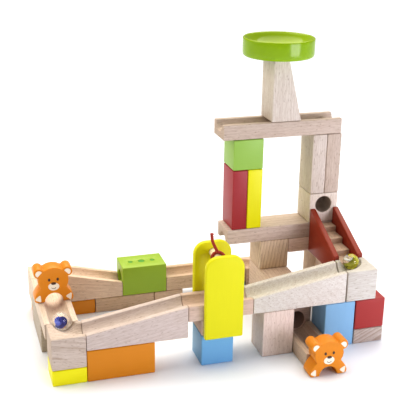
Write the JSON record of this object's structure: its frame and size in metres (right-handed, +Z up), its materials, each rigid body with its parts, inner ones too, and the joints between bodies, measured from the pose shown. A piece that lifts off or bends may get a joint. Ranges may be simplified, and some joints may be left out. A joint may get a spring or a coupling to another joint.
{
  "type": "wooden marble run",
  "caption": "Stacked wooden block marble run with grooved tracks, a bell gate, stairs, a tower, a tunnel, a dish, bear figures and glass marbles.",
  "frame": {"origin": "middle of the footprint of the whole set, on the floor it stands on", "axes": "+X right along the front ramps, +Y from the front row to the back row, +Z up"},
  "size_m": [0.3362, 0.2162, 0.2905],
  "materials": {
    "beech": "bare sanded beech, satin",
    "yellow_paint": "wood under satin yellow paint",
    "orange_paint": "wood under satin orange paint",
    "blue_paint": "wood under satin blue paint",
    "red_paint": "wood under satin red paint",
    "green_paint": "wood under satin green paint",
    "dish_green": "turned wood under gloss green paint",
    "bear_orange": "wood under satin orange paint with a printed face",
    "cord": "twisted red cotton cord",
    "bell_metal": "polished brass",
    "blue_glass": "clear glass with a blue swirl",
    "green_glass": "clear glass with a green and yellow swirl"
  },
  "bodies": {
    "root": {"yellow_half_block": "yellow_paint", "front_left_corner": "beech", "orange_block": "orange_paint", "front_ramp_low": "beech", "gate_blue_block": "blue_paint", "gate_base_block": "beech", "gate_track": "beech", "ramp_support_block": "beech", "front_ramp_high": "beech", "right_blue_block": "blue_paint", "right_half_block": "beech", "right_red_cube": "red_paint", "front_right_corner": "beech", "gate_front_panel": "yellow_paint", "gate_back_panel": "yellow_paint", "gate_dowel": "beech", "drop_block": "beech", "floor_track": "beech", "left_support_block": "beech", "left_track": "beech", "back_left_corner": "beech", "back_orange_half_block": "orange_paint", "back_ramp": "beech", "back_half_block_long": "beech", "back_half_block_short": "beech", "back_track": "beech", "back_blue_half_block": "blue_paint", "back_right_corner": "beech", "base_half_block": "beech", "base_tunnel_block": "beech", "tower_base_cube": "beech", "end_column": "beech", "plank": "beech", "bridge_track": "beech", "red_half_column": "red_paint", "yellow_half_column": "yellow_paint", "green_cube": "green_paint", "exit_cube": "beech", "tube_half_left": "beech", "tube_half_right": "beech", "top_track": "beech", "tapered_column": "beech", "stairs_support_block": "beech", "stairs_left_panel": "red_paint", "stairs_right_panel": "red_paint", "stair_steps": "beech"},
    "bell_pendulum": {"bell_cord": "cord", "cord_loop": "cord", "bell": "bell_metal"},
    "blue_marble": {"blue_marble": "blue_glass"},
    "green_marble": {"green_marble": "green_glass"},
    "track_bear": {"track_bear": "bear_orange"},
    "finish_bear": {"finish_bear": "bear_orange"},
    "dish": {"green_dish": "dish_green"},
    "tunnel": {"green_tunnel": "green_paint"}
  },
  "joints": [
    {"name": "bell_swing", "type": "hinge", "parent": "root", "child": "bell_pendulum", "pos_m": [-0.00264, -0.04378, 0.1025], "axis": [0, 1, 0], "range_deg": [-30, 30]},
    {"name": "blue_marble_roll", "type": "slide", "parent": "root", "child": "blue_marble", "axis": [0, 1, 0], "range_m": [0, 0.096]},
    {"name": "green_marble_turn", "type": "hinge", "parent": "root", "child": "green_marble", "pos_m": [0.12537, -0.02778, 0.0795], "axis": [0, 0, -1], "range_deg": [0, 60]},
    {"name": "track_bear_slide", "type": "slide", "parent": "root", "child": "track_bear", "axis": [0, 1, 0], "range_m": [-0.04, 0.03]},
    {"name": "finish_bear_slide", "type": "slide", "parent": "root", "child": "finish_bear", "axis": [0, -1, 0], "range_m": [0, 0.06]},
    {"name": "dish_lift", "type": "slide", "parent": "root", "child": "dish", "axis": [0, 0, 1], "range_m": [0, 0.05]},
    {"name": "tunnel_lift", "type": "slide", "parent": "root", "child": "tunnel", "axis": [0, 0, 1], "range_m": [0, 0.04]}
  ]
}
